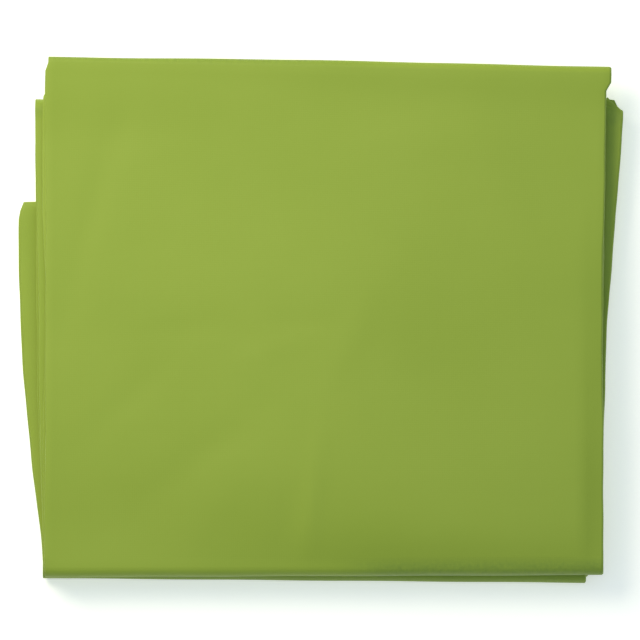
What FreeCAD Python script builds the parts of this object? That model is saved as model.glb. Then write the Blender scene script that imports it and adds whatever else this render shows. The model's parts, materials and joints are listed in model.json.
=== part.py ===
import FreeCAD, Part
import os
import Sketcher

# A roof tarp for a children's play tower, folded flat for storage. The open sheet is one rectangle of
# coated fabric with hemmed edges. It is folded across its width into quarters, which makes a strip four
# plies thick, then once across its length, which doubles the strip, and then fan-folded into four groups.
# The strip's eight stretches between creases are panels 1 to 8. From the ground up they lie in the order
# 1 8 7 2 3 6 5 4. The packet lies on z = 0, centred on the origin, with the strip's side hems at -X and the
# creases along X. All sizes are in millimetres and all angles in degrees.

SIZES = [
    ("sheet_width", 1320, "finished width of the open sheet"),
    ("sheet_length", 2172, "finished length of the open sheet"),
    ("half_fold_offset", 4, "how far past the middle the lengthwise half fold lies"),
    ("ply_pitch", 0.8, "one ply of fabric with the air trapped beside it"),
    ("hem_width", 25, "width of the turned and sewn hem on every edge"),
    ("stitch_width", 1, "width that a row of stitching takes up at the hem's inner edge"),
    ("crease_setback", 0.2, "how far a panel stops short of the line it turns about"),
    ("face_gap", 0.1, "air left over each panel whose outer side faces up"),
    ("crease_clearance", 0.2, "gap between a nested crease and the crease wrapped round it"),
    ("lower_crease_y", -147.9, "where the bottom group turns into the second, at x = 0"),
    ("lower_crease_tilt", -0.5, "angle of that crease from the X axis"),
    ("middle_crease_y", 121.1, "where the second group turns into the third, at x = 0"),
    ("middle_crease_tilt", -0.78, "angle of that crease from the X axis"),
    ("upper_crease_y", -145.3, "where the third group turns into the top one, at x = 0"),
    ("upper_crease_tilt", 0.21, "angle of that crease from the X axis"),
    ("half_crease_y", 149.25, "where the lengthwise half fold lies, at x = 0"),
    ("half_crease_tilt", -1.23, "angle of that crease from the X axis"),
    ("first_end_tilt", 2.8, "angle of the sheet's first end from the X axis"),
    ("last_end_tilt", 1, "angle of the sheet's last end from the X axis"),
    ("first_first_end_centre", -13.5, "middle of the strip's first half at the sheet's first end"),
    ("first_lower_crease_centre", -0.5, "middle of the strip's first half at the lower crease"),
    ("first_middle_crease_centre", 13.3, "middle of the strip's first half at the middle crease"),
    ("first_upper_crease_centre", 2.4, "middle of the strip's first half at the upper crease"),
    ("first_half_crease_centre", 3.65, "middle of the strip's first half at the half crease"),
    ("last_half_crease_centre", 3.65, "middle of the strip's last half at the half crease"),
    ("last_upper_crease_centre", 1.4, "middle of the strip's last half at the upper crease"),
    ("last_middle_crease_centre", -3.3, "middle of the strip's last half at the middle crease"),
    ("last_lower_crease_centre", 0.5, "middle of the strip's last half at the lower crease"),
    ("last_last_end_centre", -1, "middle of the strip's last half at the sheet's last end"),
]

# Each panel: the half of the strip it is in, its lines at -Y and +Y, how many panels lie under it, and
# whether the side that was outside in the doubled strip faces up.
PANELS = {
    1: ("first", "lower_crease", "first_end", 0, False),
    2: ("first", "lower_crease", "middle_crease", 3, True),
    3: ("first", "upper_crease", "middle_crease", 4, False),
    4: ("first", "upper_crease", "half_crease", 7, True),
    5: ("last", "upper_crease", "half_crease", 6, False),
    6: ("last", "upper_crease", "middle_crease", 5, True),
    7: ("last", "lower_crease", "middle_crease", 2, False),
    8: ("last", "lower_crease", "last_end", 1, True),
}

# Each crease: the two panels it joins, the half it is in, its line, how many panels lie under the line it
# turns about, and whether it wraps round the nested crease of the other half.
CREASES = [
    (1, 2, "first", "lower_crease", 2, True),
    (7, 8, "last", "lower_crease", 2, False),
    (2, 3, "first", "middle_crease", 4, False),
    (6, 7, "last", "middle_crease", 4, True),
    (3, 4, "first", "upper_crease", 6, True),
    (5, 6, "last", "upper_crease", 6, False),
    (4, 5, "first", "half_crease", 7, False),
]

PLIES = 4
PANEL_THICKNESS = f"({PLIES} * sizes.ply_pitch)"
STRIP_WIDTH = f"(sizes.sheet_width / {PLIES})"

# What is left of each half of the strip after its other three panels and its creases is its end panel. A
# nested crease is half a turn at half a panel's thickness from its line, and a wrapped one at one and a
# half. The first half has one nested and two wrapped ones and half of the half crease. The last half has
# two nested and one wrapped one, and the other half of the half crease.
THREE_PANELS = ("(sizes.half_crease_y + 2 * sizes.middle_crease_y"
                " - 2 * sizes.upper_crease_y - sizes.lower_crease_y)")
NESTED_TURN = f"(pi * {PANEL_THICKNESS} / 2)"
WRAPPED_TURN = f"(3 * {NESTED_TURN})"
FIRST_END_Y = ("(sizes.lower_crease_y + sizes.sheet_length / 2 + sizes.half_fold_offset"
               f" - {THREE_PANELS} - 1.5 * {NESTED_TURN} - 2 * {WRAPPED_TURN})")
LAST_END_Y = ("(sizes.lower_crease_y + sizes.sheet_length / 2 - sizes.half_fold_offset"
              f" - {THREE_PANELS} - 2.5 * {NESTED_TURN} - {WRAPPED_TURN})")

Y_AXIS = FreeCAD.Vector(0, 1, 0)
Z_AXIS = FreeCAD.Vector(0, 0, 1)

doc = FreeCAD.newDocument("folded_tarp")
sheet = doc.addObject("Spreadsheet::Sheet", "sizes")
for row, (alias, value, meaning) in enumerate(SIZES, start=1):
    sheet.set(f"A{row}", alias)
    sheet.set(f"B{row}", str(value))
    sheet.set(f"C{row}", meaning)
    sheet.setAlias(f"B{row}", alias)
doc.recompute()

sub_parts = []


# The plan: points of the folded strip, as expressions on the sheet's cells.

def line_height(line):
    """Y of a crease or of a sheet end at x = 0."""
    ends = {"first_end": FIRST_END_Y, "last_end": LAST_END_Y}
    return ends.get(line, f"sizes.{line}_y")


def edge_x(half, line, side, inward):
    """X on a line, a distance inward from the strip's left or right edge."""
    sign = {"left": "-", "right": "+"}[side]
    return f"(sizes.{half}_{line}_centre {sign} ({STRIP_WIDTH} / 2 * cos(sizes.{line}_tilt) - {inward}))"


def corner(number, side, inward, end, inset):
    """Point of a panel, a distance inward from one edge and square inset from its line at -Y or +Y."""
    half, near, far = PANELS[number][:3]
    line, other, sign = (near, far, "+") if end == "near" else (far, near, "-")
    start = edge_x(half, line, side, inward)
    finish = edge_x(half, other, side, inward)
    x = f"({start} + ({finish} - {start}) * {inset} / ({line_height(far)} - {line_height(near)}))"
    y = f"{line_height(line)} + {x} * tan(sizes.{line}_tilt) {sign} {inset} / cos(sizes.{line}_tilt)"
    return x, y


def area(number, west, east, near, far):
    """Four corners of a part of a panel, from its sides and its ends."""
    return [
        corner(number, *west, *near),
        corner(number, *east, *near),
        corner(number, *east, *far),
        corner(number, *west, *far),
    ]


# The solids: plates cut from the plan, and creases turned about their lines.

def add_plate(body, name, corners, first_ply, plies, gap="0"):
    """Add to a body a plate with four straight sides, some plies up and some plies thick less a gap."""
    plane = [item for item in body.Origin.OriginFeatures if item.Role == "XY_Plane"][0]
    sketch = body.newObject("Sketcher::SketchObject", f"{name}_outline")
    sketch.AttachmentSupport = [(plane, "")]
    sketch.MapMode = "FlatFace"
    sketch.setExpression("AttachmentOffset.Base.z", f"{first_ply} * sizes.ply_pitch")
    rough = [FreeCAD.Vector(x, y, 0) for x, y in ((-1, -1), (1, -1), (1, 1), (-1, 1))]
    for index, start in enumerate(rough):
        sketch.addGeometry(Part.LineSegment(start, rough[(index + 1) % 4]))
    for index in range(4):
        sketch.addConstraint(Sketcher.Constraint("Coincident", index, 2, (index + 1) % 4, 1))
    for index, place in enumerate(corners):
        for kind, rough_value, value in zip(("DistanceX", "DistanceY"), rough[index], place):
            number = sketch.addConstraint(Sketcher.Constraint(kind, -1, 1, index, 1, rough_value))
            sketch.setExpression(f"Constraints[{number}]", value)
    pad = body.newObject("PartDesign::Pad", f"{name}_pad")
    pad.Profile = sketch
    pad.setExpression("Length", f"{plies} * sizes.ply_pitch - {gap}")


def new_body(name, number):
    """Start a sub-part that lies on its panel's own level."""
    body = doc.addObject("PartDesign::Body", name)
    body.Label = name
    body.setExpression("Placement.Base.z", f"{PANELS[number][3]} * {PANEL_THICKNESS}")
    sub_parts.append(body)
    return body


def limits(number):
    """Ends of a panel between its creases, clear of a sheet end's hem and stitching."""
    at_sheet_end = PANELS[number][2].endswith("_end")
    far_inset = "sizes.hem_width" if at_sheet_end else "sizes.crease_setback"
    return ("near", "sizes.crease_setback"), ("far", far_inset)


LEFT_EDGE = ("left", "0")
RIGHT_EDGE = ("right", "0")
HEM_EDGE = ("left", "sizes.hem_width")
STITCH_EDGE = ("left", "(sizes.hem_width - sizes.stitch_width)")


def make_panel(number):
    """Two outer plies joined by a fold at -X, and two inner ones that stop at the side hems."""
    near, far = limits(number)
    faces_up = PANELS[number][4]
    body = new_body(f"panel_{number}", number)
    outer_ply, inner_ply, gap = (2, 0, "sizes.face_gap") if faces_up else (0, 2, "0")
    add_plate(body, f"outer_{number}", area(number, LEFT_EDGE, RIGHT_EDGE, near, far), outer_ply, 2, gap)
    add_plate(body, f"inner_{number}", area(number, HEM_EDGE, RIGHT_EDGE, near, far), inner_ply, 2)


def make_side_hems(number):
    """The hems of the sheet's left and right edges, one on each inner ply, and their stitching."""
    near, far = limits(number)
    faces_up = PANELS[number][4]
    left_ply, right_ply = (0, 1) if faces_up else (3, 2)
    hem = area(number, LEFT_EDGE, STITCH_EDGE, near, far)
    seam = area(number, STITCH_EDGE, HEM_EDGE, near, far)
    for side, ply in (("left", left_ply), ("right", right_ply)):
        name = f"{side}_hem_{number}"
        add_plate(new_body(name, number), name, hem, ply, 1)
    name = f"hem_stitching_{number}"
    add_plate(new_body(name, number), name, seam, min(left_ply, right_ply), 2)


def make_end_hem(number, end):
    """The hem across a sheet end, through all plies of the strip, and its stitching."""
    hem = area(number, LEFT_EDGE, RIGHT_EDGE, ("far", STITCH_EDGE[1]), ("far", "0"))
    seam = area(number, LEFT_EDGE, RIGHT_EDGE, ("far", "sizes.hem_width"), ("far", STITCH_EDGE[1]))
    gap = "sizes.face_gap" if PANELS[number][4] else "0"
    for name, corners in ((f"{end}_end_hem", hem), (f"{end}_end_stitching", seam)):
        add_plate(new_body(name, number), name, corners, 0, PLIES, gap)


def make_rod(name, length, radius):
    """A round rod along X, centred on the origin."""
    rod = doc.addObject("Part::Cylinder", name)
    rod.setExpression("Radius", radius)
    rod.setExpression("Height", length)
    rod.Placement.Rotation = FreeCAD.Rotation(Y_AXIS, 90)
    rod.setExpression("Placement.Base.x", f"-{length} / 2")
    return rod


def make_crease(lower, upper, half, line, panels_under, wrapped):
    """Half a turn of the strip about a crease line, open towards the panels that it joins."""
    name = f"crease_{lower}_{upper}"
    outer_radius = f"2 * {PANEL_THICKNESS}" if wrapped else f"{PANEL_THICKNESS} - sizes.crease_clearance"
    turn = make_rod(f"{name}_rod", STRIP_WIDTH, outer_radius)
    if wrapped:
        tube = doc.addObject("Part::Cut", f"{name}_tube")
        tube.Base = turn
        tube.Tool = make_rod(f"{name}_hollow", STRIP_WIDTH, PANEL_THICKNESS)
        turn = tube
    reach = doc.addObject("Part::Box", f"{name}_reach")
    reach.setExpression("Length", STRIP_WIDTH)
    reach.setExpression("Width", f"3 * {PANEL_THICKNESS}")
    reach.setExpression("Height", f"6 * {PANEL_THICKNESS}")
    reach.setExpression("Placement.Base.x", f"-{STRIP_WIDTH} / 2")
    reach.setExpression("Placement.Base.y", "-sizes.crease_setback")
    reach.setExpression("Placement.Base.z", f"-3 * {PANEL_THICKNESS}")
    crease = doc.addObject("Part::Common", name)
    crease.Label = name
    crease.Base = turn
    crease.Tool = reach
    crease.Placement.Rotation = FreeCAD.Rotation(Z_AXIS, 1)
    faces_back = 180 if line in ("lower_crease", "upper_crease") else 0
    centre = f"sizes.{half}_{line}_centre"
    crease.setExpression("Placement.Rotation.Angle", f"{faces_back} + sizes.{line}_tilt")
    crease.setExpression("Placement.Base.x", centre)
    crease.setExpression("Placement.Base.y", f"sizes.{line}_y + {centre} * tan(sizes.{line}_tilt)")
    crease.setExpression("Placement.Base.z", f"{panels_under} * {PANEL_THICKNESS}")
    sub_parts.append(crease)


for panel_number in PANELS:
    make_panel(panel_number)
    make_side_hems(panel_number)
make_end_hem(1, "first")
make_end_hem(8, "last")
for crease_row in CREASES:
    make_crease(*crease_row)
doc.recompute()

# Every object has to be sound before a file is written.
for item in doc.Objects:
    if "Invalid" in item.State or "Error" in item.State:
        raise RuntimeError(f"{item.Name} did not recompute: {item.State}")
for part in sub_parts:
    if part.Shape.isNull() or not part.Shape.isValid():
        raise RuntimeError(f"{part.Label} has no valid shape")

os.makedirs("parts", exist_ok=True)
for part in sub_parts:
    part.Shape.exportStep(f"parts/{part.Label}.step")
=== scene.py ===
import json
import math
import random

import bmesh
import bpy
import numpy as np
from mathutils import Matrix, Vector


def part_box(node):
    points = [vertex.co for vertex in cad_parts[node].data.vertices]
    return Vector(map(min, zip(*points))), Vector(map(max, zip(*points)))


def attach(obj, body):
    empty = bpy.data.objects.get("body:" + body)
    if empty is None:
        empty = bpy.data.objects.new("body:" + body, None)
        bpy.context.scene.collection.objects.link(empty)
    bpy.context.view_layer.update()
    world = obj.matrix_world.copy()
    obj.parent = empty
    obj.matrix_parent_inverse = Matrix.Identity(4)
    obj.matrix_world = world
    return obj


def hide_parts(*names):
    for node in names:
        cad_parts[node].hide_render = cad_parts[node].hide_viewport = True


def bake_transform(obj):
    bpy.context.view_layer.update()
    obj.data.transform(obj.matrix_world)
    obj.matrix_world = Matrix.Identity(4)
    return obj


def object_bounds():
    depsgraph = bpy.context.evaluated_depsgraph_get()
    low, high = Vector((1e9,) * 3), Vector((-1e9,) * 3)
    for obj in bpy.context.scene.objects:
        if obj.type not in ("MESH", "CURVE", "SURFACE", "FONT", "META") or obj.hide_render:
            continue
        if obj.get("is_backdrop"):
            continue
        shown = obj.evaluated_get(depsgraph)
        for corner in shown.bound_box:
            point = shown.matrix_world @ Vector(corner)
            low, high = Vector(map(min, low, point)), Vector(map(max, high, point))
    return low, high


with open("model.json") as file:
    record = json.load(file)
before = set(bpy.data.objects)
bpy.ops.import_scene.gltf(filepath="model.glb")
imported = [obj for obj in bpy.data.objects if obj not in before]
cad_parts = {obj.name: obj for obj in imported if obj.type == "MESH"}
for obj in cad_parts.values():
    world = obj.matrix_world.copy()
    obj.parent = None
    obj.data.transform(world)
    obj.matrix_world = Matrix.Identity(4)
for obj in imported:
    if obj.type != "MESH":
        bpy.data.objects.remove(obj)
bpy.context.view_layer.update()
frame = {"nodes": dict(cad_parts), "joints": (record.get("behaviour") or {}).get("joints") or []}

mm = 0.001


# ---------------------------------------------------------------------------------------------
# The table, the lamps and the camera. A folded tarp is shown lying on a white table under one
# broad warm lamp at its upper left and weak cool light from everywhere else.

table_size = 6.0
table = bpy.data.objects.new("table", bpy.data.meshes.new("table"))
bpy.context.scene.collection.objects.link(table)
surface = bmesh.new()
bmesh.ops.create_grid(surface, x_segments=1, y_segments=1, size=table_size / 2)
surface.to_mesh(table.data)
surface.free()
white_top = bpy.data.materials.new("white_table")
white_top.use_nodes = True
white_shader = white_top.node_tree.nodes["Principled BSDF"]
white_shader.inputs["Base Color"].default_value = (0.9, 0.9, 0.9, 1)
white_shader.inputs["Roughness"].default_value = 0.9
white_shader.inputs["Emission Color"].default_value = (1, 1, 1, 1)
white_shader.inputs["Emission Strength"].default_value = 0.42
table.data.materials.append(white_top)
table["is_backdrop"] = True


def add_lamp(name, place, aim, size, power, colour):
    """A square soft lamp that faces a point."""
    lamp = bpy.data.objects.new(name, bpy.data.lights.new(name, "AREA"))
    lamp.data.shape = "SQUARE"
    lamp.data.size = size
    lamp.data.energy = power
    lamp.data.color = colour
    lamp.location = place
    lamp.rotation_euler = (Vector(aim) - Vector(place)).to_track_quat("-Z", "Y").to_euler()
    bpy.context.scene.collection.objects.link(lamp)


add_lamp("key_lamp", (-0.80, 0.80, 1.05), (0, 0, 0), 0.9, 20, (1.0, 0.91, 0.71))
add_lamp("fill_lamp", (0.2, 0.3, 2.4), (0, 0, 0), 1.8, 9, (0.78, 1.0, 1.0))

sky = bpy.data.worlds.new("studio")
bpy.context.scene.world = sky
sky.use_nodes = True
sky.node_tree.nodes["Background"].inputs["Color"].default_value = (0.80, 0.97, 1.0, 1)
sky.node_tree.nodes["Background"].inputs["Strength"].default_value = 0.34
bpy.context.scene.view_settings.view_transform = "Standard"

low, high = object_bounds()
view_width = (high.x - low.x) * 1.0613
camera_height = 9.0
camera = bpy.data.objects.new("camera", bpy.data.cameras.new("camera"))
camera.data.sensor_width = 36
camera.data.lens = 36 * camera_height / view_width
camera.data.clip_start = 0.1
camera.data.clip_end = 30
camera.location = ((low.x + high.x) / 2, (low.y + high.y) / 2, high.z + camera_height)
bpy.context.scene.collection.objects.link(camera)
bpy.context.scene.camera = camera


# ---------------------------------------------------------------------------------------------
# The coated fabric. It is a woven polyester scrim with lime-green PVC on both sides, pressed to a
# satin skin that shows the weave faintly. Its colour carries painted shade along the creases.

def add_node(tree, kind, **settings):
    """A shader node with its settings made and its unlinked sockets filled."""
    node = tree.nodes.new(kind)
    for name, value in settings.items():
        if name in node.inputs:
            node.inputs[name].default_value = value
        else:
            setattr(node, name, value)
    return node


def coated_fabric():
    """Lime-green PVC-coated polyester."""
    material = bpy.data.materials.new("coated_fabric")
    material.use_nodes = True
    tree = material.node_tree
    link = tree.links.new
    shader = tree.nodes["Principled BSDF"]
    shader.inputs["IOR"].default_value = 1.5
    shader.inputs["Specular IOR Level"].default_value = 0.30
    flat = add_node(tree, "ShaderNodeUVMap", uv_map="flat_sheet")

    # Colour: large cloudy patches in the pigment, and painted shade that darkens the creases, broken up by
    # fine noise.
    clouds = add_node(tree, "ShaderNodeTexNoise", Scale=9.0, Detail=3.0, Roughness=0.5)
    link(flat.outputs["UV"], clouds.inputs["Vector"])
    green = add_node(tree, "ShaderNodeValToRGB")
    green.color_ramp.elements[0].position = 0.3
    green.color_ramp.elements[0].color = (0.284, 0.384, 0.0435, 1)
    green.color_ramp.elements[1].position = 0.7
    green.color_ramp.elements[1].color = (0.304, 0.403, 0.050, 1)
    link(clouds.outputs["Fac"], green.inputs["Fac"])
    shaded_creases = add_node(tree, "ShaderNodeAttribute", attribute_name="creased")
    shade_breakup = add_node(tree, "ShaderNodeTexNoise", Scale=420.0, Detail=4.0, Roughness=0.65)
    link(flat.outputs["UV"], shade_breakup.inputs["Vector"])
    shade_amount = add_node(tree, "ShaderNodeMath", operation="MULTIPLY")
    link(shaded_creases.outputs["Fac"], shade_amount.inputs[0])
    link(shade_breakup.outputs["Fac"], shade_amount.inputs[1])
    # Painted shade: a darker green mixed in where the creased attribute says.
    painted_shade = add_node(tree, "ShaderNodeMix", data_type="RGBA")
    painted_shade.inputs["B"].default_value = (0.165, 0.255, 0.042, 1)
    link(shade_amount.outputs["Value"], painted_shade.inputs["Factor"])
    link(green.outputs["Color"], painted_shade.inputs["A"])
    link(painted_shade.outputs["Result"], shader.inputs["Base Color"])

    # Gloss: satin, uneven where hands and folds have rubbed it.
    rubbed = add_node(tree, "ShaderNodeTexNoise", Scale=26.0, Detail=5.0, Roughness=0.6)
    link(flat.outputs["UV"], rubbed.inputs["Vector"])
    satin = add_node(tree, "ShaderNodeMapRange")
    satin.inputs["To Min"].default_value = 0.44
    satin.inputs["To Max"].default_value = 0.58
    link(rubbed.outputs["Fac"], satin.inputs["Value"])
    link(satin.outputs["Result"], shader.inputs["Roughness"])

    # Relief: threads of the scrim each way, the skin's fine grain, and slack in the cloth.
    heights = []
    thread_pitch = 0.0013
    for direction in ("X", "Y"):
        threads = add_node(tree, "ShaderNodeTexWave", wave_type="BANDS", bands_direction=direction)
        threads.inputs["Scale"].default_value = 2 * math.pi / (20 * thread_pitch)
        threads.inputs["Distortion"].default_value = 0.4
        threads.inputs["Detail Scale"].default_value = 0.6
        link(flat.outputs["UV"], threads.inputs["Vector"])
        heights.append((threads.outputs["Fac"], 0.010))
    grain = add_node(tree, "ShaderNodeTexNoise", Scale=2600.0, Detail=2.0, Roughness=0.6)
    link(flat.outputs["UV"], grain.inputs["Vector"])
    heights.append((grain.outputs["Fac"], 0.012))
    slack = add_node(tree, "ShaderNodeTexNoise", Scale=22.0, Detail=3.0, Roughness=0.45)
    link(flat.outputs["UV"], slack.inputs["Vector"])
    heights.append((slack.outputs["Fac"], 0.30))
    total = None
    for height, share in heights:
        part = add_node(tree, "ShaderNodeMath", operation="MULTIPLY")
        part.inputs[1].default_value = share
        link(height, part.inputs[0])
        if total is not None:
            joined = add_node(tree, "ShaderNodeMath", operation="ADD")
            link(total.outputs["Value"], joined.inputs[0])
            link(part.outputs["Value"], joined.inputs[1])
            part = joined
        total = part
    relief = add_node(tree, "ShaderNodeBump", Strength=1.0, Distance=1 * mm)
    link(total.outputs["Value"], relief.inputs["Height"])
    link(relief.outputs["Normal"], shader.inputs["Normal"])
    return material


fabric = coated_fabric()
fabric_thickness = 0.36 * mm


# ---------------------------------------------------------------------------------------------
# The strip's cross-section. The sheet is folded across its width into quarters, so a cut through
# the strip runs hem, ply, fold, ply, fold, ply, fold, ply, hem. Plies are numbered from the side
# that lies inside the doubled strip, 1, to the side that shows, 4.

panel_low, panel_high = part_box("panel_5")
ply_pitch = (panel_high.z - panel_low.z) / 4
panel_thickness = 4 * ply_pitch


def corner(node, side, end):
    """Corner of a flat node: side -1 for -X and 1 for +X, end -1 for -Y and 1 for +Y."""
    points = [v.co for v in frame["nodes"][node].data.vertices]
    best = max(points, key=lambda p: side * p.x + end * p.y)
    return Vector((best.x, best.y))


quarter = (corner("panel_4", 1, -1) - corner("panel_4", -1, -1)).length
hem_width = (corner("first_end_hem", -1, 1) - corner("panel_1", -1, 1)).length

# Heights of the plies in ply pitches: along the strip, over the side hems, at an end of the sheet, and
# of the hem that is turned in there.
levels = {
    "left_hem": (0.80, 0.80, 0.52, 0.52),
    "ply_1": (0.50, 0.30, 0.28, 0.76),
    "ply_4": (3.50, 3.50, 3.72, 3.24),
    "ply_3": (2.50, 2.55, 2.28, 2.76),
    "ply_2": (1.50, 1.80, 1.72, 1.24),
    "right_hem": (1.30, 1.30, 1.48, 1.48),
}
side_hem_ramp = 14 * mm
end_hem_ramp = 12 * mm


def smooth(value):
    """0 below 0, 1 above 1, and a smooth step between them."""
    value = np.clip(value, 0, 1)
    return value * value * (3 - 2 * value)


def ply_heights(ply, across):
    """Heights of a ply at a distance from the strip's left edge."""
    plain, hemmed, at_end, turned = levels[ply]
    over_hem = 1 - smooth((across - hem_width) / side_hem_ramp)
    return plain + (hemmed - plain) * over_hem, at_end, turned


def section():
    """Points of the cross-section, and where each straight run of it starts and ends."""
    points = []
    runs = {}

    def run(ply, start, finish, step):
        count = max(2, round(abs(finish - start) / step))
        runs[ply] = (len(points), len(points) + count)
        for index in range(count + 1):
            across = start + (finish - start) * index / count
            add(ply, across, ply_heights(ply, across), 0)

    def turn(ply, following, edge, way, steps):
        before = ply_heights(ply, edge)
        after = ply_heights(following, edge)
        radius = abs(after[0] - before[0]) / 2 * ply_pitch
        for index in range(1, steps):
            angle = math.pi * index / steps
            share = (1 - math.cos(angle)) / 2
            heights = [a + (b - a) * share for a, b in zip(before, after)]
            add(ply if share < 0.5 else following, edge + way * radius * math.sin(angle), heights, 1)

    def add(ply, across, heights, creased):
        gone = 0
        if points:
            last = points[-1]
            climb = (heights[0] - last["heights"][0]) * ply_pitch
            gone = last["flat"] + math.hypot(across - last["across"], climb)
        points.append({"flat": gone, "across": across, "heights": heights, "ply": ply, "creased": creased})

    # The sheet's side edges lie a little inside the folds, and the hems' raw edges inside those.
    hem_bend = 0.25 * ply_pitch
    left_edge = hem_bend + 1.2 * mm
    right_edge = hem_bend + 2.4 * mm
    raw_edge = hem_width - 1 * mm
    inner_fold = 0.5 * ply_pitch
    outer_fold = quarter - 1.5 * ply_pitch
    run("left_hem", raw_edge, left_edge, 6 * mm)
    turn("left_hem", "ply_1", left_edge, -1, 4)
    run("ply_1", left_edge, outer_fold, 8 * mm)
    turn("ply_1", "ply_4", outer_fold, 1, 10)
    run("ply_4", outer_fold, inner_fold, 4 * mm)
    turn("ply_4", "ply_3", inner_fold, -1, 7)
    run("ply_3", inner_fold, outer_fold, 8 * mm)
    turn("ply_3", "ply_2", outer_fold, 1, 5)
    run("ply_2", outer_fold, right_edge, 8 * mm)
    turn("ply_2", "right_hem", right_edge, -1, 4)
    run("right_hem", right_edge, raw_edge, 6 * mm)
    return points, runs


columns, run_of = section()
flat = np.array([p["flat"] for p in columns])
across = np.array([p["across"] for p in columns])
height, end_height, turned_height = (np.array([p["heights"][i] for p in columns]) for i in range(3))
at_fold = np.array([p["creased"] for p in columns], float)


# ---------------------------------------------------------------------------------------------
# The creases' lines and the panels' outlines, as the frame holds them. Each hinge is the line that
# two groups turn about, and each panel runs between two lines, given by their ends at -X and +X.

hinges = {joint["name"]: joint for joint in frame["joints"]}


def crease_ends(line, panel, end):
    """Ends of a crease line beside a panel, with their height left out."""
    ends = [corner(panel, side, end) for side in (-1, 1)]
    if line in hinges:
        point = Vector(hinges[line]["pos_m"])
        axis = Vector(hinges[line]["axis"])
        ends = [Vector((p.x, point.y + (p.x - point.x) * axis.y / axis.x)) for p in ends]
    return ends


# Panel: lines at -Y and +Y, panels under it, and whether ply 4 is on top.
panels = {
    1: ("lower_crease", "first_end", 0, False),
    2: ("lower_crease", "middle_crease", 3, True),
    3: ("upper_crease", "middle_crease", 4, False),
    4: ("upper_crease", "half_crease", 7, True),
    5: ("upper_crease", "half_crease", 6, False),
    6: ("upper_crease", "middle_crease", 5, True),
    7: ("lower_crease", "middle_crease", 2, False),
    8: ("lower_crease", "last_end", 1, True),
}
outlines = {}
for number, (near, far, _, _) in panels.items():
    far_node = {"first_end": "first_end_hem", "last_end": "last_end_hem"}.get(far, f"panel_{number}")
    outlines[number] = crease_ends(near, f"panel_{number}", -1) + crease_ends(far, far_node, 1)

# Groups of panels that fold as one, from the bottom up: panels, how far trapped air lifts them, and
# how far from their creases it does so.
groups = [((1, 8), 0.7 * mm, 60 * mm), ((7, 2), 0.6 * mm, 75 * mm), ((3, 6), 0.6 * mm, 90 * mm),
          ((5, 4), 2.5 * mm, 45 * mm)]
roll_margin = 150 * mm
roll_sharpness = (5, 15)
side_margin = 13 * mm
side_lift = 0.52


def beyond(x, y, start, end):
    """How far points lie to the left of the line from start to end."""
    way = (end - start).normalized()
    return (y - start.y) * way.x - (x - start.x) * way.y


def airy(group, x, y):
    """Share of a group's air at a place: none at its creases."""
    share = 1
    numbers, _, margin = groups[group]
    for number in numbers:
        near_left, near_right, far_left, far_right = outlines[number]
        share = share * smooth(beyond(x, y, far_right, far_left) / margin)
        if group == 3:
            # The top rolls down towards the upper crease, most sharply where it reaches it.
            inside = beyond(x, y, near_left, near_right) + 2 * panel_thickness
            dull, sharp = roll_sharpness
            sharpness = dull + (sharp - dull) * smooth((x - near_left.x) / (near_right.x - near_left.x))
            share = share * (1 - (1 - np.clip(inside / roll_margin, 0, 1)) ** sharpness)
            at_right = smooth(beyond(x, y, near_right, far_right) / side_margin)
            share = share * (side_lift + (1 - side_lift) * at_right)
        else:
            share = share * smooth(beyond(x, y, near_left, near_right) / margin)
    return share


# Swells and dents that handling has left in the top group: place as shares of the top panel's width
# and length, half-lengths along and across, the long way's angle in degrees, and height.
marks = [
    (0.54, 0.44, 190 * mm, 80 * mm, 74, 3.2 * mm),
    (0.087, 0.72, 62 * mm, 7 * mm, 76, -0.45 * mm),
    (0.145, 0.88, 26 * mm, 7 * mm, 80, -0.30 * mm),
    (0.25, 0.47, 26 * mm, 7 * mm, 8, -0.35 * mm),
    (0.36, 0.45, 20 * mm, 6 * mm, -38, -0.45 * mm),
    (0.45, 0.48, 20 * mm, 5 * mm, 4, -0.35 * mm),
    (0.40, 0.43, 16 * mm, 5 * mm, 20, 0.30 * mm),
    (0.55, 0.46, 26 * mm, 9 * mm, 66, 0.50 * mm),
    (0.15, 0.33, 34 * mm, 8 * mm, 42, -0.40 * mm),
    (0.26, 0.20, 46 * mm, 10 * mm, 40, -0.55 * mm),
    (0.33, 0.25, 20 * mm, 10 * mm, 20, -0.35 * mm),
    (0.28, 0.09, 40 * mm, 12 * mm, 45, 0.45 * mm),
    (0.475, 0.10, 46 * mm, 5 * mm, 84, 0.70 * mm),
    (0.43, 0.06, 26 * mm, 9 * mm, 82, -0.80 * mm),
    (0.70, 0.36, 60 * mm, 18 * mm, -24, -0.35 * mm),
    (0.80, 0.80, 60 * mm, 14 * mm, -62, 0.30 * mm),
    (0.12, 0.04, 60 * mm, 30 * mm, 0, -0.90 * mm),
    (0.74, 0.06, 110 * mm, 95 * mm, 0, 5.6 * mm),
]

# Soft bends across it: a place on the line, the line's angle, how far the cloth to its right tilts
# down in degrees, and how wide the bend is.
soft_bends = [
    (0.60, 0.52, 74, 0.5, 12 * mm),
    (0.30, 0.47, 186, 0.7, 9 * mm),
    (0.30, 0.22, 200, 0.7, 12 * mm),
]
top_low, top_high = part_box("panel_4")


def handling(x, y):
    """Height that swells, dents and bends add to the top of the packet."""
    total = np.zeros(len(x))
    for right, up, long_way, short_way, angle, rise in marks:
        along, beside = from_mark(x, y, right, up, angle)
        total += rise * np.exp(-(along / long_way) ** 2 - (beside / short_way) ** 2)
    for right, up, angle, tilt, width in soft_bends:
        beside = from_mark(x, y, right, up, angle)[1]
        total -= math.tan(math.radians(tilt)) * width * np.logaddexp(0, -beside / width)
    return total * airy(3, x, y)


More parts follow.
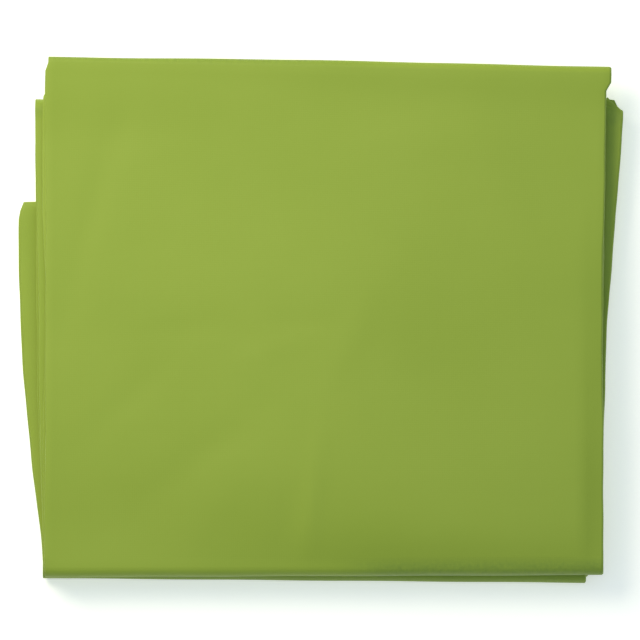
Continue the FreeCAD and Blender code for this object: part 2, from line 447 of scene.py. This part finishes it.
def from_mark(x, y, right, up, angle):
    """Distances from a mark along its angle and to the left of it."""
    east = x - (top_low.x + right * (top_high.x - top_low.x))
    north = y - (top_low.y + up * (top_high.y - top_low.y))
    turn = math.radians(angle)
    return east * math.cos(turn) + north * math.sin(turn), north * math.cos(turn) - east * math.sin(turn)


def lip(x, y):
    """How far the top group's springy folds stand up, at its left edge and at the half fold."""
    near_left, _, far_left, far_right = outlines[4]
    rightness = smooth((x - far_left.x) / (far_right.x - far_left.x))
    half_rise = (0.25 + 0.9 * rightness) * mm
    half_reach = (4 + 18 * rightness) * mm
    left_rise = 0.45 * mm
    left_reach = 7 * mm
    at_half = smooth(1 - beyond(x, y, far_right, far_left) / half_reach)
    at_left = np.exp(-np.clip(beyond(x, y, far_left, near_left), 0, 1) / left_reach)
    return half_rise * at_half + left_rise * at_left


def lifted(x, y, packed):
    """Height of points that would lie at a height packed if the packet held no air."""
    z = packed
    for group, (_, rise, _) in enumerate(groups):
        share = np.clip(packed / (2 * panel_thickness) - group, 0, 1)
        z = z + rise * airy(group, x, y) * share
    top_share = share
    return z + (handling(x, y) + lip(x, y)) * top_share


# ---------------------------------------------------------------------------------------------
# How the strip wanders. No ply lies exactly on the next, so each edge of the section drifts a
# little along the sheet, and the corners of the outer folds are pulled in or pushed out.

# The section's edges are A, C and E at the left, and B and D at the right. These are the edges that
# each run of it goes between.
run_edges = {
    "left_hem": "AB",
    "ply_1": "AB",
    "ply_4": "CB",
    "ply_3": "CD",
    "ply_2": "ED",
    "right_hem": "ED",
}
drifts = {}
for index, edge in enumerate("ABCDE"):
    dice = random.Random(40 + index)
    drifts[edge] = [(size * mm, length * mm, dice.uniform(0, 2 * math.pi))
                    for size, length in ((0.40, 430), (0.25, 171), (0.14, 67), (0.07, 29))]

# Where edges are pulled about: which edges, what the distances are measured from along the sheet, how
# far they are pulled towards +X, how far along the pull holds, and the length over which it fades.
pulls = [
    ("ACE", "lower_creases", 1.0 * mm, 12 * mm, 60 * mm),
    ("ACE", "sheet_ends", 2.7 * mm, 0, 8 * mm),
    ("BD", "lower_creases", -6.5 * mm, 9 * mm, 12 * mm),
    ("BD", "sheet_ends", -3.0 * mm, 0, 9 * mm),
    ("BD", "middle_creases", 1.1 * mm, 60 * mm, 70 * mm),
    ("AE", "half_fold", -3.6 * mm, 60 * mm, 120 * mm),
    ("AE", "half_fold", 3.6 * mm, 15 * mm, 9 * mm),
    ("C", "half_fold", 1.8 * mm, 2 * mm, 6 * mm),
    ("C", "half_fold", -1.5 * mm, 20 * mm, 80 * mm),
    ("B", "half_fold", 0.9 * mm, 20 * mm, 120 * mm),
    ("B", "half_fold", 3.0 * mm, 7 * mm, 3 * mm),
]


def edge_shift(edge, along):
    """How far an edge lies from its place, at a distance along the sheet: its drift and its pulls."""
    past = {
        "lower_creases": min(abs(along - crease_middle(pair)) for pair in ((1, 2), (7, 8))),
        "middle_creases": min(abs(along - crease_middle(pair)) for pair in ((2, 3), (6, 7))),
        "half_fold": abs(along - half_fold),
        "sheet_ends": min(along, sheet_end - along),
    }
    shift = 0
    for size, length, start in drifts[edge]:
        shift += size * math.sin(2 * math.pi * along / length + start)
    for edges, place, pull, hold, length in pulls:
        if edge in edges:
            shift += pull * float(1 - smooth((past[place] - hold) / length))
    return shift


def crease_middle(pair):
    """Where the middle of a crease lies along the sheet."""
    return starts[pair] + stretch_length(pair) / 2


def wander(along):
    """How far each point of the section lies from its place, across the strip."""
    share = np.clip(across / quarter, 0, 1)
    left = {edge: edge_shift(edge, along) for edge in "ACE"}
    right = {edge: edge_shift(edge, along) for edge in "BD"}
    names = [run_edges[p["ply"]] for p in columns]
    left_shift = np.array([left[n[0]] for n in names])
    right_shift = np.array([right[n[1]] for n in names])
    return left_shift * (1 - share) ** 2 + right_shift * share ** 2


# The bows of each panel's left and right edges: how far out, and how far from the middle they lean.
bows = {
    1: ((3.1 * mm, 1.5), (0.5 * mm, 1)),
    2: ((0.8 * mm, 1), (-3.2 * mm, 0.75)),
    3: ((0.3 * mm, 1), (-3.2 * mm, 0.75)),
    4: ((-0.4 * mm, 1), (-0.7 * mm, 0.5)),
    5: ((0.2 * mm, 1), (-1.1 * mm, 0.5)),
    6: ((0.5 * mm, 1), (-1.4 * mm, 0.8)),
    7: ((0.9 * mm, 1), (-1.3 * mm, 0.8)),
    8: ((0.6 * mm, 1), (-0.8 * mm, 0.8)),
}


# How far the first end's left corner has slipped out along the strip.
first_end_slip = 4.0 * mm


def panel_row(number, forward, along, heights):
    """Points of the section laid across a panel, at a share of the way from its line at -Y."""
    near_left, near_right, far_left, far_right = outlines[number]
    under, faces_up = panels[number][2:]
    left = near_left.lerp(far_left, forward)
    right = near_right.lerp(far_right, forward)
    share = (across + wander(along)) / quarter
    bow_left, bow_right = (bow * math.sin(math.pi * forward ** lean) for bow, lean in bows[number])
    x = left.x + (right.x - left.x) * share - bow_left * (1 - share) + bow_right * share
    y = left.y + (right.y - left.y) * share
    if number == 1:
        y = y + first_end_slip * forward ** 2 * (1 - share) ** 2
    ply_height = heights * ply_pitch if faces_up else panel_thickness - heights * ply_pitch
    z = lifted(x, y, under * panel_thickness + ply_height)
    return np.stack([x, y, z], 1)


# Crease: its line, the panels under that line, the way it points, the radius at the section's underside,
# and how much the radius grows for each ply pitch above that. Of the two creases on a line, the one whose
# radius grows is wrapped round the other.
creases = {
    (1, 2): ("lower_crease", 2, -1, panel_thickness, ply_pitch),
    (2, 3): ("middle_crease", 4, 1, panel_thickness, -ply_pitch),
    (3, 4): ("upper_crease", 6, -1, panel_thickness, ply_pitch),
    (4, 5): ("half_crease", 7, 1, 0, ply_pitch),
    (5, 6): ("upper_crease", 6, -1, panel_thickness, -ply_pitch),
    (6, 7): ("middle_crease", 4, 1, panel_thickness, ply_pitch),
    (7, 8): ("lower_crease", 2, -1, panel_thickness, -ply_pitch),
}

# How far each crease bulges past a round bend, at its left, its middle and its right. The half fold's
# bulge changes over all its width, and the others' only near their ends.
bulges = {
    (1, 2): (0.4 * mm, 0.4 * mm, 0.4 * mm),
    (2, 3): (0.5 * mm, 0.5 * mm, 3.0 * mm),
    (3, 4): (0.2 * mm, 0.1 * mm, 0.1 * mm),
    (4, 5): (0.3 * mm, 1.7 * mm, 1.4 * mm),
    (5, 6): (0.2 * mm, 0.5 * mm, 0.2 * mm),
    (6, 7): (1.3 * mm, 0.0 * mm, 0.0 * mm),
    (7, 8): (0.2 * mm, 0.5 * mm, -0.2 * mm),
}


ripple = 0.1 * mm
ripple_length = 83 * mm
ear_reach = 9.0 * mm

# How much painted shade darkens a crease at its left and its right, and where it changes, if it differs from
# the rest.
crease_shading = {(4, 5): (1.0, 0.0, -40 * mm, 70 * mm), (3, 4): (0.0, 0.9, 5 * mm, 50 * mm)}


def crease_shade_at(pair, x):
    """How much painted shade darkens the points of a crease."""
    at_left, at_right, first, last = crease_shading.get(pair, (0.5, 0.5, 0, 1))
    return at_left + (at_right - at_left) * smooth((x - first) / (last - first))


def crease_row(pair, angle, along):
    """Points of the section laid round a crease, at an angle from -90 at its foot to 90 at its head."""
    line, under, way, base, pitch = creases[pair]
    near_left, near_right, far_left, far_right = outlines[pair[0]]
    left, right = (near_left, near_right) if way < 0 else (far_left, far_right)
    outward = Vector((right.y - left.y, left.x - right.x)).normalized() * -way
    share = (across + wander(along)) / quarter
    x = left.x + (right.x - left.x) * share
    y = left.y + (right.y - left.y) * share
    at_left, at_middle, at_right = bulges[pair]
    reach = 0.5 if pair == (4, 5) else 0.12
    bulge = at_middle + (at_left - at_middle) * (1 - smooth(share / reach))
    bulge += (at_right - at_middle) * smooth((share - 1) / reach + 1)
    bulge += ripple * np.sin(2 * math.pi * x / ripple_length + under)
    radius = base + pitch * height
    if pair == (2, 3):
        # An ear of cloth stands out of the fold, a little way in from its right end.
        from_right = right.x - x
        ear = smooth((from_right - 2.5 * mm) / (2 * mm)) * (1 - smooth((from_right - 8 * mm) / (5 * mm)))
        bulge += (ear_reach - 0.5 * radius) * ear
    turn = math.radians(angle)
    out = (radius + bulge) * math.cos(turn)
    z = lifted(x, y, under * panel_thickness + radius * math.sin(turn))
    return np.stack([x + outward.x * out, y + outward.y * out, z], 1)


# ---------------------------------------------------------------------------------------------
# The route along the sheet, from its first end to its last, with the flat length of every stretch.

route = [1, (1, 2), 2, (2, 3), 3, (3, 4), 4, (4, 5), 5, (5, 6), 6, (6, 7), 7, (7, 8), 8]


def stretch_length(item):
    """Flat length of a panel or a crease along the sheet."""
    if isinstance(item, tuple):
        base, pitch = creases[item][3:]
        return math.pi * (base + 2 * pitch)
    near_left, near_right, far_left, far_right = outlines[item]
    return ((far_left - near_left).length + (far_right - near_right).length) / 2


starts = {}
covered = 0
for item in route:
    starts[item] = covered
    covered += stretch_length(item)
half_fold = starts[(4, 5)] + stretch_length((4, 5)) / 2
sheet_end = covered
row_step = 5 * mm
fold_steps = 12
hem_step = 6 * mm


def panel_rows(number):
    """Rows of a panel in the order in which the sheet runs through it, with its end hem if it has one.

    A row is its points, its distance along the sheet, how much painted shade darkens it, and whether it
    comes before the hem.
    """
    far = panels[number][1]
    towards_far = number in (2, 4, 6, 8)
    length = stretch_length(number)
    start = starts[number]
    count = round(length / row_step)
    forwards = [index / count for index in range(count + 1)]
    bend = 0.25 * ply_pitch
    rows = []
    if far in ("first_end", "last_end"):
        last = 1 - bend / length
        forwards = [share * last for share in forwards]
        for forward in forwards:
            at_end = float(1 - smooth(((1 - forward) * length - hem_width) / end_hem_ramp))
            rows.append((forward, forward * length, height + (end_height - height) * at_end, True))
        for step in range(1, 4):
            angle = math.pi * step / 4
            mix = (1 - math.cos(angle)) / 2
            forward = last + bend * math.sin(angle) / length
            heights = end_height + (turned_height - end_height) * mix
            rows.append((forward, length + bend * mix, heights, False))
        for step in range(5):
            inward = step * hem_step
            rows.append((last - inward / length, length + 1 * mm + inward, turned_height, False))
    else:
        rows = [(forward, forward * length, height, True) for forward in forwards]
    made = []
    unshaded = np.zeros(len(columns))
    for forward, gone, heights, before_hem in rows:
        along = start + gone if towards_far else start + length - gone
        made.append((panel_row(number, forward, along, heights), along, unshaded, before_hem))
    return made if towards_far else made[::-1]


def crease_rows(pair):
    """Rows round a crease in the order in which the sheet runs through it."""
    climbing = panels[pair[0]][2] < panels[pair[1]][2]
    length = stretch_length(pair)
    made = []
    for step in range(fold_steps + 1):
        share = step / fold_steps
        angle = -90 + 180 * share if climbing else 90 - 180 * share
        points = crease_row(pair, angle, crease_middle(pair))
        # Painted shade on the crease, and on the half fold strongest at its outer edge.
        painted_shade = crease_shade_at(pair, points[:, 0])
        if pair == (4, 5):
            painted_shade = painted_shade * math.cos(math.radians(angle))
        made.append((points, starts[pair] + length * share, painted_shade, True))
    return made


def make_stretch(name, rows, first=0, last=None):
    """One stretch of the sheet as a piece of cloth, from one column of the section to another."""
    last = len(columns) - 1 if last is None else last
    wide, deep = last - first, len(rows) - 1
    cloth = bmesh.new()
    bmesh.ops.create_grid(cloth, x_segments=wide, y_segments=deep, size=0.5)
    uv_map = cloth.loops.layers.uv.new("flat_sheet")
    creased = cloth.verts.layers.float.new("creased")
    spots = {}
    for vertex in cloth.verts:
        column = first + round((vertex.co.x + 0.5) * wide)
        row = round((vertex.co.y + 0.5) * deep)
        spots[vertex.index] = (column, row)
    for vertex in cloth.verts:
        column, row = spots[vertex.index]
        points, _, painted_shade, _ = rows[row]
        vertex.co = points[column]
        # The creased attribute is painted shade: half strength where the strip turns at its sides, and the
        # crease's own amount on the creases.
        vertex[creased] = max(0.5 * at_fold[column], painted_shade[column])
    for face in cloth.faces:
        face.smooth = True
        for loop in face.loops:
            column, row = spots[loop.vert.index]
            loop[uv_map].uv = (flat[column], rows[row][1])
    piece = bpy.data.objects.new(name, bpy.data.meshes.new(name))
    cloth.to_mesh(piece.data)
    cloth.free()
    bpy.context.scene.collection.objects.link(piece)
    skin = piece.modifiers.new("thickness", "SOLIDIFY")
    skin.thickness = fabric_thickness
    skin.offset = 0
    bpy.context.view_layer.update()
    finished = bpy.data.meshes.new_from_object(piece.evaluated_get(bpy.context.evaluated_depsgraph_get()))
    piece.modifiers.clear()
    piece.data = finished
    finished.name = name
    shell = bmesh.new()
    shell.from_mesh(finished)
    for edge in shell.edges:
        edge.smooth = edge.calc_face_angle(0) < math.radians(60)
    shell.to_mesh(finished)
    shell.free()
    finished.materials.clear()
    finished.materials.append(fabric)
    return piece


def panel_nodes(*numbers):
    """Names of the frame's nodes that panels' cloth stands for."""
    names = []
    for number in numbers:
        names += [f"panel_{number}", f"left_hem_{number}", f"right_hem_{number}"]
    return names


# ---------------------------------------------------------------------------------------------
# The top fold: panels 4 and 5 in one piece, with the half fold between them at the packet's far
# edge. Panel 4's outer ply is the face that shows.

top_rows = panel_rows(4)[1:] + crease_rows((4, 5))[1:] + panel_rows(5)[1:-1]
top_fold = make_stretch("top_fold_sheet", top_rows)
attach(top_fold, "top_fold")
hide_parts(*panel_nodes(4, 5), "crease_4_5")


# ---------------------------------------------------------------------------------------------
# The other folds, a panel at a time: third, second and bottom. The bottom fold's panels end in the
# sheet's two end hems.

bodies = {
    3: "third_fold",
    6: "third_fold",
    2: "second_fold",
    7: "second_fold",
    1: "bottom_fold",
    8: "bottom_fold",
}
ends = {1: ["first_end_hem"], 8: ["last_end_hem"]}
for number, body in bodies.items():
    rows = panel_rows(number)
    if number != 1:
        rows = rows[1:]
    if number != 8:
        rows = rows[:-1]
    panel = make_stretch(f"panel_{number}_sheet", rows)
    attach(panel, body)
    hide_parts(*panel_nodes(number), *ends.get(number, []))


# ---------------------------------------------------------------------------------------------
# The creases that the groups turn about. Each ply bends round its own, so that all four lie flat
# together when the crease is open, and a fold of the strip goes with the tighter ply beside it.

crease_bodies = {
    (1, 2): ("bottom_fold", "second_fold"),
    (7, 8): ("bottom_fold", "second_fold"),
    (2, 3): ("second_fold", "third_fold"),
    (6, 7): ("second_fold", "third_fold"),
    (3, 4): ("third_fold", "top_fold"),
    (5, 6): ("third_fold", "top_fold"),
}
for pair, (lower_body, upper_body) in crease_bodies.items():
    line, under, _, base, pitch = creases[pair]
    if pitch > 0:
        strips = {
            1: (0, run_of["ply_4"][0]),
            4: run_of["ply_4"],
            3: (run_of["ply_4"][1], run_of["ply_3"][1]),
            2: (run_of["ply_3"][1], len(columns) - 1),
        }
    else:
        strips = {
            1: (0, run_of["ply_1"][1]),
            4: (run_of["ply_1"][1], run_of["ply_3"][0]),
            3: (run_of["ply_3"][0], run_of["ply_2"][0]),
            2: (run_of["ply_2"][0], len(columns) - 1),
        }
    rows = panel_rows(pair[0])[-2:-1] + crease_rows(pair) + panel_rows(pair[1])[1:2]
    for ply, (first, last) in strips.items():
        bend = make_stretch(f"crease_{pair[0]}_{pair[1]}_ply_{ply}", rows, first, last)
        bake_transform(bend)
        if ply == 4:
            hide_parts(f"crease_{pair[0]}_{pair[1]}")


# ---------------------------------------------------------------------------------------------
# The hem stitching. A row of lockstitch in green polyester thread runs 3 mm inside each hem's raw
# edge, through both layers, so the same stitches show on both faces.

def hem_thread():
    """Green polyester sewing thread, twisted from fine strands."""
    material = bpy.data.materials.new("hem_thread")
    material.use_nodes = True
    tree = material.node_tree
    link = tree.links.new
    shader = tree.nodes["Principled BSDF"]
    shader.inputs["Roughness"].default_value = 0.62
    shader.inputs["Sheen Weight"].default_value = 0.25
    shader.inputs["Sheen Roughness"].default_value = 0.5
    place = add_node(tree, "ShaderNodeTexCoord")
    twist = add_node(tree, "ShaderNodeTexWave", wave_type="BANDS", bands_direction="DIAGONAL", Scale=900.0)
    link(place.outputs["Object"], twist.inputs["Vector"])
    green = add_node(tree, "ShaderNodeValToRGB")
    green.color_ramp.elements[0].color = (0.16, 0.25, 0.03, 1)
    green.color_ramp.elements[1].color = (0.27, 0.38, 0.06, 1)
    link(twist.outputs["Fac"], green.inputs["Fac"])
    link(green.outputs["Color"], shader.inputs["Base Color"])
    relief = add_node(tree, "ShaderNodeBump", Strength=0.6, Distance=0.1 * mm)
    link(twist.outputs["Fac"], relief.inputs["Height"])
    link(relief.outputs["Normal"], shader.inputs["Normal"])
    return material


thread = hem_thread()
stitch_length = 3.0 * mm
stitch_pitch = 3.8 * mm
stitch_inset = 3.0 * mm
stitch_height = 0.9 * mm
thread_width = 0.5 * mm


def sew(name, paths, body):
    """Stitches along paths, each a list of points."""
    sewn = bmesh.new()
    for path in paths:
        path = np.array(path)
        gone = np.concatenate([[0], np.cumsum(np.linalg.norm(np.diff(path, axis=0), axis=1))])
        for index in range(int(gone[-1] / stitch_pitch)):
            middle = (index + 0.5) * stitch_pitch
            tail, head = (
                Vector([np.interp(middle + way * stitch_length / 2, gone, path[:, i]) for i in range(3)])
                for way in (-1, 1)
            )
            made = bmesh.ops.create_icosphere(sewn, subdivisions=1, radius=0.5)["verts"]
            bmesh.ops.scale(sewn, vec=(thread_width, stitch_height, stitch_length), verts=made)
            facing = (head - tail).to_track_quat("Z", "Y").to_matrix()
            bmesh.ops.rotate(sewn, cent=(0, 0, 0), matrix=facing, verts=made)
            bmesh.ops.translate(sewn, vec=(head + tail) / 2, verts=made)
    for face in sewn.faces:
        face.smooth = True
    piece = bpy.data.objects.new(name, bpy.data.meshes.new(name))
    sewn.to_mesh(piece.data)
    sewn.free()
    piece.data.materials.append(thread)
    bpy.context.scene.collection.objects.link(piece)
    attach(piece, body)
    return piece


def column_at(ply, distance):
    """The column of a straight run that lies nearest a distance from the strip's left edge."""
    first, last = run_of[ply]
    return min(range(first, last + 1), key=lambda column: abs(across[column] - distance))


seam = hem_width - stitch_inset
seam_columns = [(column_at("left_hem", seam), column_at("ply_1", seam)),
                (column_at("right_hem", seam), column_at("ply_2", seam))]
body_of = {4: "top_fold", 5: "top_fold", **bodies}
for number, body in body_of.items():
    rows = panel_rows(number)
    if number in (1, 8):
        rows = [row for row in rows if row[3]]
    paths = [[(row[0][hem] + row[0][ply]) / 2 for row in rows] for hem, ply in seam_columns]
    stitches = sew(f"side_hem_stitches_{number}", paths, body)
    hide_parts(f"hem_stitching_{number}")
for number, end in ((1, "first_end"), (8, "last_end")):
    length = stretch_length(number)
    forward = 1 - seam / length
    along = starts[number] + (seam if number == 1 else length - seam)
    row = panel_row(number, forward, along, (end_height + turned_height) / 2)
    stitches = sew(f"{end}_hem_stitches", [row], "bottom_fold")
    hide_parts(f"{end}_stitching")
